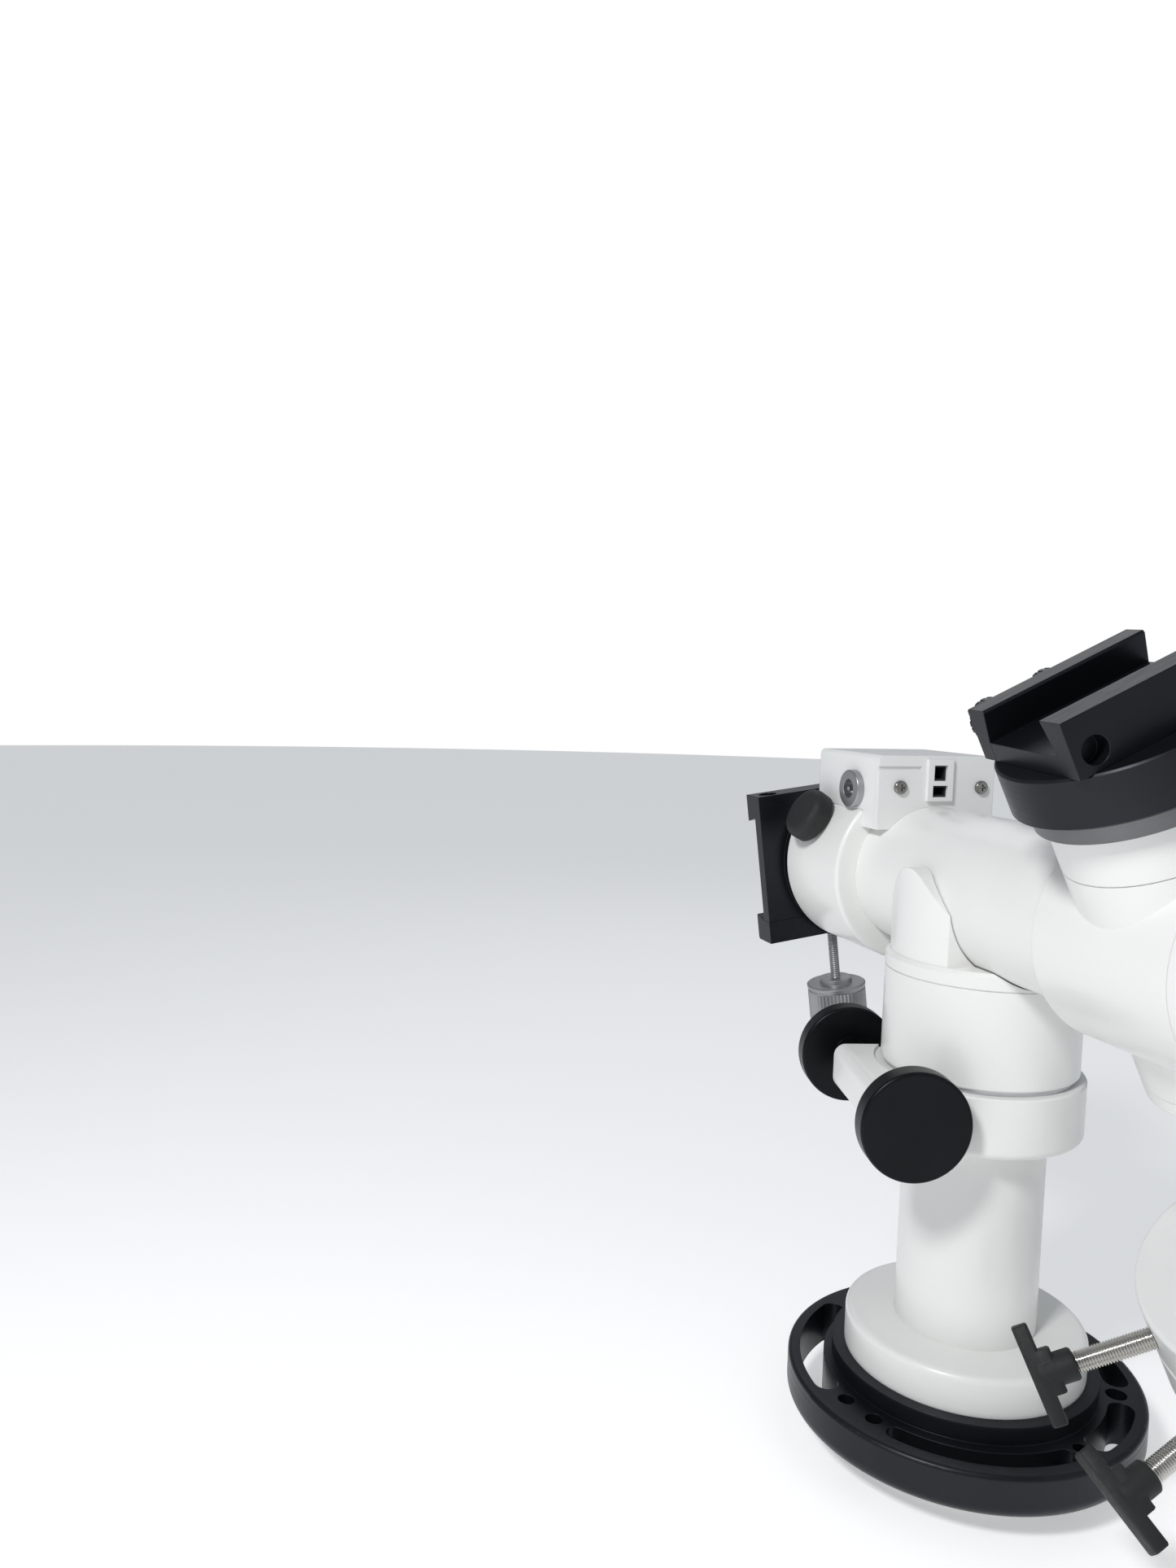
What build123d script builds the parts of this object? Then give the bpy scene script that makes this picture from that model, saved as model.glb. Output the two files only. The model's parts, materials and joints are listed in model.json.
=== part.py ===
"""Modular equatorial mount: pier plate, pillar, azimuth head, polar axis,
declination axis, saddles and counterweights.

Frame: +Z up, origin at the centre of the pier plate's lower face.  The polar (RA)
axis lies along X at height RA_Z and is level at rest.  The declination (DEC) axis
crosses it at x = DEC_X, rolled about X so that its upper end leans towards -Y.
All sizes are in millimetres.
"""
import os
from math import cos, radians, sin, tan

from build123d import *

# ---------------------------------------------------------------- driving sizes
GAP = 0.3                   # clear gap between pieces that move past each other
FIT = 0.05                  # radial clearance of running fits

# pier plate and pillar
PLATE_R = 86.0
PLATE_T = 21.0
HUB_R = 64.0
HUB_TOP = 29.5
SLOT_R = 74.0               # radius of the ring of slots and holes
SLOT_W = 9.0
KIDNEY_W = 12.0
SMALL_HOLE_R = 3.2
WIDE_HOLE_R = 4.0
PIER_PCD = 100.0            # bolt circle that fixes the plate to a pier
PIER_HOLE_R = 3.3
FLANGE_R = 58.0
FLANGE_TOP = 48.0
COLUMN_R = 34.0
COLUMN_BORE_R = 27.0
COLLAR_R = 50.0
COLLAR_Z = 146.6
COLLAR_TOP = 175.6
HEAD_Z = 177.7              # underside of the turning azimuth head
CLAMP_BOLT_PCD = 92.0
CLAMP_BOLT_R = 3.0

# azimuth adjuster
AZ_DIR = 256.6              # direction of the adjuster boss from the column, degrees
AZ_RHO = 50.0               # distance of the screw axis from the column axis
AZ_Z = 165.6
AZ_KNOB_R = 25.5
AZ_KNOB_T = 11.0
AZ_HUB_R = 9.0
AZ_KNOB_OUT = 58.0          # outer knob face from the middle of the boss
BOSS_HALF = 29.0
BOSS_SIZE = (40.0, 23.0)     # radial width and height of the boss
PEG_R = 4.0
SCREW_R = 5.0
AZ_RANGE = 3.5              # degrees each way
TIP_GAP = 0.7               # between the peg and each screw's tip
AZ_TRAVEL = AZ_RHO * radians(AZ_RANGE)
CHAMBER_HALF = 11.0         # half width of the peg's chamber inside the boss
BUSH_Z = 150.0

# azimuth head and fork
HEAD_R = 46.75
SEAM_Z = 224.0
LEDGE_Z = 232.0
FORK_R = 44.5
CHEEK_HALF = 24.4           # half length of a cheek along X
EAR_LOW = 256.0             # where a cheek begins to narrow towards its pivot
EAR_R = 13.0
PIVOT_IN = 27.0             # inner and outer ends of a latitude pivot pin
PIVOT_OUT = 41.0
PIVOT_R = 8.0
SPINDLE_R = 20.0
HEAD_CAVITY_R = 40.5
HEAD_CAVITY_TOP = 203.0

# polar axis
RA_Z = 262.0
RA_TUBE_R = 37.0
RA_BORE_R = 26.0
RA_TUBE_X = (-62.0, 88.5)
CASE_R = 48.3
CASE_X = (-118.6, -62.0)
CASE_WALL = 4.3
SHAFT_R = 17.0
SHAFT_BORE_R = 11.0
BEARING_L = 12.0
LATITUDE_TILT = 14.0
CRADLE_GAP = 0.5            # between the polar tube and its cradle

# worm drives, shared by both axes
WHEEL_R = 27.0
WHEEL_T = 10.0
WORM_R = 6.0
WORM_L = 22.0
WORM_OFF = WHEEL_R + WORM_R + GAP
MOTOR_R = 7.0
MOTOR_L = 27.0
MOTOR_OFF = 21.0            # motor axis from the worm axis, along the wheel axis
CAVITY_R = 43.8             # largest radius a drive may reach inside its case

# declination axis
DEC_X = 128.6
DEC_ROLL = 27.3
DEC_BARREL_R = 45.6
DEC_BARREL_X = (91.2, 163.4)
DEC_CAP_END = 200.0
DEC_WALL = 4.3
NECK_R = 34.5
NECK_TOP = 47.9
COVER_TOP = 67.9
RING_R = 38.5
RING_TOP = 76.2
DISC_R = 44.0
DISC_TOP = 96.2
SADDLE_FLOOR = 8.0
SADDLE_TURN = 7.0           # degrees that the saddle is turned about the DEC axis

# counterweights
CW_SHAFT_R = 10.0
CW_SHAFT_END = -292.0
CW_R = 67.5
CW_T = 21.5
CW_TOP = -150.5
T_ROD_R = 4.5
T_BOLT_TURN = (-157.7, -181.5)      # direction of each clamping rod about the shaft
T_BAR_TURN = (143.1, -47.4)         # direction of each T bar about its rod
T_BAR_OUT = 117.0                   # middle of the T bar from the shaft axis
T_BAR_L = 40.0
T_BAR_W = 11.0
T_BAR_T = 7.0
T_HUB_R = 6.6
T_HUB_L = 16.0

# control box on top of the drive case
BOX_X = (-110.0, -50.3)
BOX_HALF = 34.5
BOX_TOP = 325.5
PANEL_T = 3.0
SOCKET_Z = 306.3            # round power socket, just above the drive case
SCREW_Y = (-22.0, 26.5)
SCREW_Z = 47.0              # panel screws above the polar axis
BLOCK_Z = 50.8              # raised socket block above the polar axis
SOCKETS = ((54.5, 8.0, 8.0), (45.0, 9.0, 6.0))      # height, width, depth of each opening

# rear disc and the screws of the main disc
REAR_DISC_X = -124.0
REAR_TURN = 8.0             # degrees that the rear saddle is turned about the polar axis
DISC_SCREW_R = 26.0

# ---------------------------------------------------------------- reference planes
DEC_Y = -sin(radians(DEC_ROLL))
DEC_Z = cos(radians(DEC_ROLL))


def ra_plane(x):
    """Plane across the polar axis at x; its local x is +Y and its local y is +Z."""
    return Plane(origin=(x, 0, RA_Z), x_dir=(0, 1, 0), z_dir=(1, 0, 0))


def dec_plane(q):
    """Plane across the declination axis, q above the polar axis; local x is +X."""
    origin = (DEC_X, DEC_Y * q, RA_Z + DEC_Z * q)
    return Plane(origin=origin, x_dir=(1, 0, 0), z_dir=(0, DEC_Y, DEC_Z))


def boss_plane(w):
    """Plane across the azimuth screws, w along their axis from the boss middle."""
    a = radians(AZ_DIR)
    along = (-sin(a), cos(a), 0)
    origin = (AZ_RHO * cos(a) + w * along[0], AZ_RHO * sin(a) + w * along[1], AZ_Z)
    return Plane(origin=origin, x_dir=(cos(a), sin(a), 0), z_dir=along)


def save(part, name):
    part.label = name
    export_step(part, f"parts/{name}.step")


def bearing_pair(name, planes):
    """The two shaft bearings of one axis; each grows from its plane."""
    with BuildPart() as pair:
        for plane in planes:
            with BuildSketch(plane):
                Circle(RA_BORE_R - FIT)
                Circle(SHAFT_R + FIT, mode=Mode.SUBTRACT)
            extrude(amount=BEARING_L)
    save(pair.part, name)


# ---------------------------------------------------------------- pier plate and pillar
def pier_plate():
    kidneys = ((-150, -93), (19, 45), (65, 78), (100, 160))
    long_slot = (-57, 3)
    small_holes = (10.5, 55, 90, 173, 186, 199)
    wide_holes = (-81, -67)
    with BuildPart() as plate:
        with BuildSketch():
            Circle(PLATE_R)
        extrude(amount=PLATE_T)
        fillet(plate.faces().sort_by(Axis.Z)[0].edges(), 7)
        fillet(plate.faces().sort_by(Axis.Z)[-1].edges(), 2)
        with BuildSketch():
            Circle(HUB_R)
        extrude(amount=HUB_TOP)
        with BuildSketch():
            for start, end in kidneys:
                SlotArc(CenterArc((0, 0), SLOT_R, start, end - start), KIDNEY_W)
            SlotArc(CenterArc((0, 0), SLOT_R, long_slot[0], long_slot[1] - long_slot[0]), SLOT_W)
            for angle in small_holes:
                with PolarLocations(SLOT_R - 2, 1, start_angle=angle):
                    Circle(SMALL_HOLE_R)
            for angle in wide_holes:
                with PolarLocations(SLOT_R - 2, 1, start_angle=angle):
                    Circle(WIDE_HOLE_R)
            with PolarLocations(PIER_PCD / 2, 6):
                Circle(PIER_HOLE_R)
            with PolarLocations(CLAMP_BOLT_PCD / 2, 4, start_angle=15):
                Circle(CLAMP_BOLT_R + GAP)
            Circle(24)
        extrude(amount=HUB_TOP, mode=Mode.SUBTRACT)
        with BuildSketch():
            with PolarLocations(CLAMP_BOLT_PCD / 2, 4, start_angle=15):
                Circle(6)
        extrude(amount=8, mode=Mode.SUBTRACT)
        with BuildSketch(Plane.XY.offset(PLATE_T)):
            with PolarLocations(SLOT_R - 2, 1, start_angle=55):
                Circle(5)
        extrude(amount=-6, mode=Mode.SUBTRACT)
    save(plate.part, "pier_plate")


def pillar_bolts():
    """Cap screws that hold the pillar's flange to the plate from below."""
    with BuildPart() as bolts:
        with BuildSketch(Plane.XY.offset(2)):
            with PolarLocations(CLAMP_BOLT_PCD / 2, 4, start_angle=15):
                Circle(5.5)
                RegularPolygon(2.9, 6, mode=Mode.SUBTRACT)
        extrude(amount=6)
        with BuildSketch(Plane.XY.offset(6)):
            with PolarLocations(CLAMP_BOLT_PCD / 2, 4, start_angle=15):
                Circle(CLAMP_BOLT_R)
        extrude(amount=36)
    save(bolts.part, "pillar_bolts")


def pillar():
    """Flange, column, collar and the boss that carries the azimuth screws."""
    with BuildPart() as post:
        with BuildSketch(Plane.XY.offset(HUB_TOP)):
            Circle(FLANGE_R)
        extrude(amount=FLANGE_TOP - HUB_TOP)
        fillet(post.faces().sort_by(Axis.Z)[-1].edges(), 3)
        with BuildSketch(Plane.XY.offset(COLLAR_Z)):
            Circle(COLLAR_R)
        extrude(amount=COLLAR_TOP - COLLAR_Z)
        fillet(post.faces().sort_by(Axis.Z)[-1].edges(), 1)
        under = post.faces().filter_by(lambda f: abs(f.center().Z - COLLAR_Z) < 0.1)
        fillet(under.edges(), 4)
        with BuildSketch(Plane.XY.offset(FLANGE_TOP)):
            Circle(COLUMN_R)
        extrude(amount=COLLAR_Z - FLANGE_TOP)
        with BuildSketch(boss_plane(-BOSS_HALF)):
            with Locations((-6, 0)):
                RectangleRounded(*BOSS_SIZE, 6)
        extrude(amount=2 * BOSS_HALF)
        with BuildSketch(Plane.XY.offset(COLLAR_TOP)):
            Circle(COLLAR_R)
        extrude(amount=10, mode=Mode.SUBTRACT)
        with BuildSketch(Plane.XY.offset(HUB_TOP)):
            Circle(COLUMN_BORE_R)
        extrude(amount=COLLAR_TOP - HUB_TOP, mode=Mode.SUBTRACT)
        with BuildSketch(boss_plane(-BOSS_HALF)):
            Circle(SCREW_R + FIT)
        extrude(amount=2 * BOSS_HALF, mode=Mode.SUBTRACT)
        with BuildSketch(boss_plane(-CHAMBER_HALF)):
            with Locations((-6, 0)):
                Rectangle(37, 2 * PEG_R + 2)
        extrude(amount=2 * CHAMBER_HALF, mode=Mode.SUBTRACT)
        with BuildSketch(Plane.XY.offset(HUB_TOP)):
            with PolarLocations(CLAMP_BOLT_PCD / 2, 4, start_angle=15):
                Circle(CLAMP_BOLT_R + FIT)
        extrude(amount=14, mode=Mode.SUBTRACT)
    save(post.part, "pillar")


def azimuth_bearings():
    """Two plain bushes in the top of the pillar and the thrust washer above them."""
    with BuildPart() as bearings:
        for z in (BUSH_Z, COLLAR_TOP - 5):
            with BuildSketch(Plane.XY.offset(z)):
                Circle(COLUMN_BORE_R - FIT)
                Circle(SPINDLE_R + FIT, mode=Mode.SUBTRACT)
            extrude(amount=5)
        with BuildSketch(Plane.XY.offset(COLLAR_TOP)):
            Circle(HEAD_R - 1.5)
            Circle(30, mode=Mode.SUBTRACT)
        extrude(amount=HEAD_Z - COLLAR_TOP)
    save(bearings.part, "azimuth_bearings")


# ---------------------------------------------------------------- azimuth screws
def azimuth_screw(side, name):
    """A threaded rod on one side of the peg, and the round knob on its end."""
    tip = PEG_R + TIP_GAP
    end = AZ_KNOB_OUT - 6
    with BuildPart() as rod:
        with BuildSketch(boss_plane(side * tip)):
            Circle(SCREW_R)
        extrude(amount=side * (end - tip))
    save(rod.part, f"azimuth_rod_{name}")
    stem = BOSS_HALF + AZ_TRAVEL + 0.8
    with BuildPart() as knob:
        with BuildSketch(boss_plane(side * (AZ_KNOB_OUT - AZ_KNOB_T))):
            Circle(AZ_KNOB_R)
        extrude(amount=side * AZ_KNOB_T)
        fillet(knob.edges(), 1.5)
        with BuildSketch(boss_plane(side * stem)):
            Circle(AZ_HUB_R)
        extrude(amount=side * (AZ_KNOB_OUT - AZ_KNOB_T + 1 - stem))
        with BuildSketch(boss_plane(side * stem)):
            Circle(SCREW_R + FIT)
        extrude(amount=side * (end - stem), mode=Mode.SUBTRACT)
    save(knob.part, f"azimuth_knob_{name}")


# ---------------------------------------------------------------- azimuth head
def tube_sweep(radius):
    """The space that the polar tube takes up between level and full tilt."""
    steps = 7
    swept = None
    for i in range(steps + 1):
        tilt = LATITUDE_TILT * i / steps
        along = (cos(radians(tilt)), 0, sin(radians(tilt)))
        plane = Plane(origin=(0, 0, RA_Z), x_dir=(0, 1, 0), z_dir=along)
        with BuildPart() as tube:
            with BuildSketch(plane):
                Circle(radius)
            extrude(amount=70, both=True)
        swept = tube.part if swept is None else swept + tube.part
    return swept


def azimuth_fork():
    """Turning head: a round base with two cheeks that hold the latitude pivots."""
    cradle = tube_sweep(RA_TUBE_R + CRADLE_GAP)
    with BuildPart() as head:
        with BuildSketch(Plane.XY.offset(LEDGE_Z - 10)):
            Circle(FORK_R)
            Rectangle(2 * CHEEK_HALF, 2 * FORK_R, mode=Mode.INTERSECT)
        extrude(amount=RA_Z + CHEEK_HALF - LEDGE_Z + 10)
        with BuildSketch(Plane.XZ.offset(-60)):
            with Locations((0, RA_Z)):
                Circle(EAR_R)
            with Locations((0, (LEDGE_Z - 10 + EAR_LOW) / 2)):
                Rectangle(2 * CHEEK_HALF, EAR_LOW - LEDGE_Z + 10)
            make_hull()
        extrude(amount=120, mode=Mode.INTERSECT)
        with BuildSketch(Plane.XY.offset(HEAD_Z)):
            Circle(HEAD_R)
        extrude(amount=LEDGE_Z - HEAD_Z)
        rims = head.edges().filter_by(GeomType.CIRCLE).filter_by(lambda e: abs(e.radius - HEAD_R) < 0.1)
        chamfer(rims.sort_by(Axis.Z)[-1:], 1.8)
        chamfer(head.faces().sort_by(Axis.Z)[0].edges(), 0.8)
        with BuildSketch(Plane.XY.offset(SEAM_Z)):
            Circle(HEAD_R)
            Circle(HEAD_R - 0.35, mode=Mode.SUBTRACT)
        extrude(amount=0.4, mode=Mode.SUBTRACT)
        with BuildSketch(Plane.XY.offset(HEAD_Z)):
            Circle(SPINDLE_R + FIT)
        extrude(amount=12, mode=Mode.SUBTRACT)
        with BuildSketch(Plane.XY.offset(HEAD_Z + 6)):
            Circle(HEAD_CAVITY_R)
        extrude(amount=HEAD_CAVITY_TOP - HEAD_Z - 6, mode=Mode.SUBTRACT)
        add(cradle, mode=Mode.SUBTRACT)
        with BuildSketch(Plane.XZ):
            with Locations((0, RA_Z)):
                Circle(PIVOT_R + FIT)
        extrude(amount=PIVOT_OUT + GAP, both=True, mode=Mode.SUBTRACT)
    save(head.part, "azimuth_fork")


def azimuth_spindle():
    """The vertical shaft that the head turns on, with its top flange."""
    with BuildPart() as spindle:
        with BuildSketch(Plane.XY.offset(BUSH_Z - 0.3)):
            Circle(SPINDLE_R)
        extrude(amount=HEAD_Z + 6 - BUSH_Z + 0.3)
        with BuildSketch(Plane.XY.offset(HEAD_Z + 6)):
            Circle(30)
        extrude(amount=5)
        with BuildSketch(Plane.XY.offset(BUSH_Z - 14)):
            Circle(14)
        extrude(amount=15)
        with BuildSketch(peg_plane(10)):
            Circle(PEG_R + FIT)
        extrude(amount=30, mode=Mode.SUBTRACT)
    save(spindle.part, "azimuth_spindle")


def spindle_nut():
    with BuildPart() as nut:
        with BuildSketch(Plane.XY.offset(BUSH_Z - 12)):
            Circle(25)
            with PolarLocations(25, 4):
                Rectangle(6, 5, mode=Mode.SUBTRACT)
            Circle(14 + FIT, mode=Mode.SUBTRACT)
        extrude(amount=11.4)
    save(nut.part, "spindle_nut")


def peg_plane(rho):
    """Plane across the azimuth peg at a distance from the column axis."""
    a = radians(AZ_DIR)
    return Plane(origin=(rho * cos(a), rho * sin(a), AZ_Z), x_dir=(0, 0, 1), z_dir=(cos(a), sin(a), 0))


def azimuth_peg():
    with BuildPart() as peg:
        with BuildSketch(peg_plane(10)):
            Circle(PEG_R)
        extrude(amount=46)
    save(peg.part, "azimuth_peg")


def latitude_pivots():
    """Two steel pins that the polar tube tilts on, one in each cheek."""
    with BuildPart() as pins:
        for side in (1, -1):
            with BuildSketch(Plane.XZ.offset(side * PIVOT_IN)):
                with Locations((0, RA_Z)):
                    Circle(PIVOT_R)
            extrude(amount=side * (PIVOT_OUT - PIVOT_IN))
    save(pins.part, "latitude_pivots")


def latitude_lock():
    """Lever that clamps the far cheek on the polar tube."""
    with BuildPart() as lever:
        with BuildSketch(Plane.XZ.offset(-FORK_R - GAP)):
            with Locations((0, RA_Z)):
                Circle(11)
        extrude(amount=-13)
        fillet(lever.faces().sort_by(Axis.Y)[-1].edges(), 2)
        with BuildSketch(Plane.XZ.offset(-FORK_R - 5)):
            with Locations((0, RA_Z)):
                Circle(9)
            with Locations((0, RA_Z - 30)):
                Trapezoid(12, 60, 92)
        extrude(amount=-7)
        fillet(lever.edges().filter_by(Axis.Y).sort_by(Axis.Z)[:2], 4)
    save(lever.part, "latitude_lock")


# ---------------------------------------------------------------- polar axis housing
def ra_housing():
    with BuildPart() as tube:
        with BuildSketch(ra_plane(RA_TUBE_X[0])):
            Circle(RA_TUBE_R)
            Circle(RA_BORE_R, mode=Mode.SUBTRACT)
        extrude(amount=RA_TUBE_X[1] - RA_TUBE_X[0])
        chamfer(tube.faces().sort_by(Axis.X)[-1].edges().sort_by(SortBy.RADIUS)[-1:], 0.8)
        with BuildSketch(Plane.XZ):
            with Locations((0, RA_Z)):
                Circle(PIVOT_R + FIT)
        extrude(amount=60, both=True, mode=Mode.SUBTRACT)
    save(tube.part, "ra_housing")


def ra_drive_case():
    """Round case behind the tube that holds the polar worm drive."""
    with BuildPart() as case:
        with BuildSketch(ra_plane(CASE_X[0])):
            Circle(CASE_R)
        extrude(amount=CASE_X[1] - CASE_X[0])
        fillet(case.edges().filter_by(GeomType.CIRCLE).sort_by(Axis.X)[-1:], 2)
        with BuildSketch(ra_plane(CASE_X[0] + CASE_WALL)):
            Circle(CASE_R - CASE_WALL)
        extrude(amount=CASE_X[1] - CASE_X[0] - 2 * CASE_WALL, mode=Mode.SUBTRACT)
        with BuildSketch(ra_plane(CASE_X[0])):
            Circle(SHAFT_R + GAP)
        extrude(amount=CASE_X[1] - CASE_X[0], mode=Mode.SUBTRACT)
        with BuildSketch(Plane.XY.offset(RA_Z)):
            with Locations((-88, 18)):
                Circle(4)
        extrude(amount=60, mode=Mode.SUBTRACT)
        with BuildSketch(clutch_plane(30)):
            Circle(4 + FIT)
        extrude(amount=30, mode=Mode.SUBTRACT)
    save(case.part, "ra_drive_case")


def clutch_plane(r):
    """Plane across the clutch screw, r from the polar axis."""
    a = radians(150)
    direction = (0, cos(a), sin(a))
    origin = (-97, r * cos(a), RA_Z + r * sin(a))
    return Plane(origin=origin, x_dir=(1, 0, 0), z_dir=direction)


def ra_clutch_knob():
    with BuildPart() as knob:
        with BuildSketch(clutch_plane(WHEEL_R + 1)):
            Circle(4)
        extrude(amount=24)
        with BuildSketch(clutch_plane(CASE_R + 0.8)):
            Circle(15)
            with PolarLocations(16.3, 12):
                Circle(2.4, mode=Mode.SUBTRACT)
        extrude(amount=12)
        fillet(knob.faces().sort_by(Axis((0, 0, 0), clutch_plane(0).z_dir))[-1].edges(), 1)
    save(knob.part, "ra_clutch_knob")


def worm_drive(axis_name, plane):
    """Worm, motor, belt and bracket; plane lies mid-wheel with the worm towards its -y."""
    across = Plane(origin=plane.origin, x_dir=plane.z_dir, z_dir=plane.x_dir)
    with BuildPart() as wheel:
        with BuildSketch(plane):
            Circle(WHEEL_R)
            with PolarLocations(WHEEL_R, 54):
                Rectangle(1, 0.7, mode=Mode.SUBTRACT)
            Circle(SHAFT_R + FIT, mode=Mode.SUBTRACT)
        extrude(amount=WHEEL_T / 2, both=True)
    save(wheel.part, f"{axis_name}_worm_wheel")

    with BuildPart() as worm:
        with BuildSketch(across.offset(-WORM_L / 2)):
            with Locations((0, WORM_OFF)):
                Circle(WORM_R)
        extrude(amount=WORM_L)
        with BuildSketch(across.offset(-15)):
            with Locations((0, WORM_OFF)):
                Circle(2.5)
        extrude(amount=34)
        with BuildSketch(across.offset(15)):
            with Locations((0, WORM_OFF)):
                Circle(4.6)
        extrude(amount=4)
    save(worm.part, f"{axis_name}_worm")

    with BuildPart() as motor:
        with BuildSketch(across.offset(-14)):
            with Locations((MOTOR_OFF, WORM_OFF)):
                Circle(MOTOR_R)
        extrude(amount=MOTOR_L)
        with BuildSketch(across.offset(13)):
            with Locations((MOTOR_OFF, WORM_OFF)):
                Circle(4.6)
        extrude(amount=6)
    save(motor.part, f"{axis_name}_motor")

    with BuildPart() as belt:
        with BuildSketch(across.offset(15)):
            with Locations((MOTOR_OFF / 2, WORM_OFF)):
                SlotCenterToCenter(MOTOR_OFF, 2 * 5.8)
                SlotCenterToCenter(MOTOR_OFF, 2 * 4.9, mode=Mode.SUBTRACT)
        extrude(amount=4)
    save(belt.part, f"{axis_name}_belt")

    with BuildPart() as bracket:
        with BuildSketch(plane):
            with Locations((0, -WORM_OFF - 8)):
                Rectangle(29, 3)
            for x in (-12.8, 12.8):
                with Locations((x, -WORM_OFF)):
                    Rectangle(3, 16)
            Circle(CAVITY_R, mode=Mode.INTERSECT)
        extrude(amount=5, both=True)
        with BuildSketch(across):
            with Locations((0, WORM_OFF)):
                Circle(2.5 + FIT)
        extrude(amount=20, both=True, mode=Mode.SUBTRACT)
    save(bracket.part, f"{axis_name}_worm_bracket")


def ra_shaft():
    """Hollow polar shaft with the flange that carries the declination barrel."""
    with BuildPart() as shaft:
        with BuildSketch(ra_plane(REAR_DISC_X)):
            Circle(SHAFT_R)
        extrude(amount=100 - REAR_DISC_X)
        with BuildSketch(ra_plane(RA_TUBE_X[1] + GAP)):
            Circle(RA_TUBE_R - 1.5)
        extrude(amount=DEC_BARREL_X[0] - RA_TUBE_X[1] - GAP)
        with BuildSketch(ra_plane(REAR_DISC_X)):
            Circle(SHAFT_BORE_R)
        extrude(amount=240, mode=Mode.SUBTRACT)
    save(shaft.part, "ra_shaft")


# ---------------------------------------------------------------- control box
def box_profile(half, low, top):
    """Cross-section of the control box above the polar tube, drawn on an ra_plane."""
    with Locations((0, (low + top) / 2 - RA_Z)):
        Rectangle(2 * half, top - low)


def control_box():
    low = RA_Z + 25
    with BuildPart() as box:
        with BuildSketch(ra_plane(BOX_X[0])):
            box_profile(BOX_HALF, low, BOX_TOP)
        extrude(amount=BOX_X[1] - BOX_X[0])
        fillet(box.edges().filter_by(Axis.X).sort_by(Axis.Z)[-2:], 3)
        fillet(box.edges().filter_by(Axis.Y).sort_by(Axis.X)[:1], 2)
        with BuildSketch(ra_plane(BOX_X[0] + 3)):
            box_profile(BOX_HALF - 3, low, BOX_TOP - 3)
            Circle(CASE_R + 3, mode=Mode.SUBTRACT)
        extrude(amount=BOX_X[1] - BOX_X[0], mode=Mode.SUBTRACT)
        with BuildSketch(ra_plane(CASE_X[1] + 3)):
            box_profile(BOX_HALF - 3, low, BOX_TOP - 3)
            Circle(RA_TUBE_R + 3, mode=Mode.SUBTRACT)
        extrude(amount=BOX_X[1] - CASE_X[1], mode=Mode.SUBTRACT)
        with BuildSketch(ra_plane(BOX_X[0])):
            Circle(CASE_R)
        extrude(amount=CASE_X[1] - BOX_X[0], mode=Mode.SUBTRACT)
        with BuildSketch(ra_plane(BOX_X[0])):
            Circle(RA_TUBE_R)
        extrude(amount=BOX_X[1] - BOX_X[0], mode=Mode.SUBTRACT)
        with BuildSketch(socket_plane(0)):
            Circle(6.6)
        extrude(amount=-6, mode=Mode.SUBTRACT)
        with BuildSketch(ra_plane(BOX_X[1] - 12)):
            for y in SCREW_Y:
                with Locations((y, SCREW_Z)):
                    Circle(3.4)
        extrude(amount=12)
        with BuildSketch(ra_plane(BOX_X[1] - 12)):
            for y in SCREW_Y:
                with Locations((y, SCREW_Z)):
                    Circle(1.5 + FIT)
        extrude(amount=12, mode=Mode.SUBTRACT)
    save(box.part, "control_box")


def socket_plane(out):
    """Plane of the round power socket on the side of the control box."""
    return Plane(origin=(-71, -BOX_HALF - out, SOCKET_Z), x_dir=(1, 0, 0), z_dir=(0, -1, 0))


def control_panel():
    with BuildPart() as panel:
        with BuildSketch(ra_plane(BOX_X[1])):
            box_profile(BOX_HALF, RA_Z + 25, BOX_TOP)
            Circle(RA_TUBE_R, mode=Mode.SUBTRACT)
        extrude(amount=PANEL_T)
        fillet(panel.edges().filter_by(Axis.X).sort_by(Axis.Z)[-2:], 3)
        with BuildSketch(ra_plane(BOX_X[1] + PANEL_T)):
            with Locations((1, BLOCK_Z)):
                Rectangle(15, 22)
        extrude(amount=2)
        with BuildSketch(ra_plane(BOX_X[1] - 1)):
            for z, width, height in SOCKETS:
                with Locations((1, z)):
                    Rectangle(width, height)
        extrude(amount=20, mode=Mode.SUBTRACT)
        with BuildSketch(ra_plane(BOX_X[1] + PANEL_T - 1)):
            with Locations((-22, BOX_TOP - RA_Z - 6.5)):
                Rectangle(25, 1.6)
        extrude(amount=1, mode=Mode.SUBTRACT)
        with BuildSketch(ra_plane(BOX_X[1] - 1)):
            for y in SCREW_Y:
                with Locations((y, SCREW_Z)):
                    Circle(1.5 + FIT)
        extrude(amount=20, mode=Mode.SUBTRACT)
    save(panel.part, "control_panel")


def control_sockets():
    """Shells of the two connectors, set back inside the panel's openings."""
    with BuildPart() as shells:
        with BuildSketch(ra_plane(BOX_X[1] - 8)):
            for z, width, height in SOCKETS:
                with Locations((1, z)):
                    Rectangle(width - 0.4, height - 0.4)
        extrude(amount=11)
        with BuildSketch(ra_plane(BOX_X[1] - 6)):
            for z, width, height in SOCKETS:
                with Locations((1, z)):
                    Rectangle(width - 2, height - 2)
        extrude(amount=12, mode=Mode.SUBTRACT)
    save(shells.part, "control_sockets")


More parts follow.
